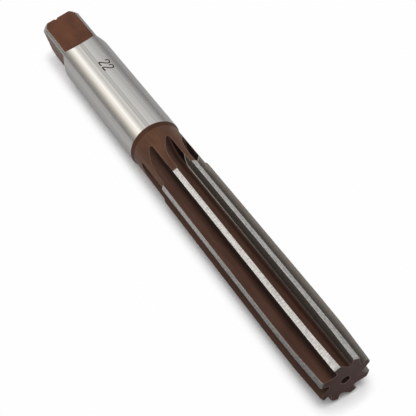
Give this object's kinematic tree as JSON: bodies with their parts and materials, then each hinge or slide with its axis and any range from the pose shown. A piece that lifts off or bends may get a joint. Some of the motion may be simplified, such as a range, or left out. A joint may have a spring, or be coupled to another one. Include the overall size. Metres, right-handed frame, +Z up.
{
  "type": "hand reamer",
  "caption": "Straight-flute hand reamer with a tapered lead, ground lands, a relieved neck, a round shank and a driving square.",
  "frame": {"origin": "centre of the cutting end's face, on the tool's axis", "axes": "+X along the axis from the cutting end to the square, +Z up as the tool lies on two teeth and its shank"},
  "size_m": [0.215, 0.022, 0.022],
  "materials": {
    "tool_steel": "ground bright on the lands, rake faces and shank; brown oxide elsewhere"
  },
  "bodies": {
    "root": {"reamer": "tool_steel"}
  },
  "joints": []
}
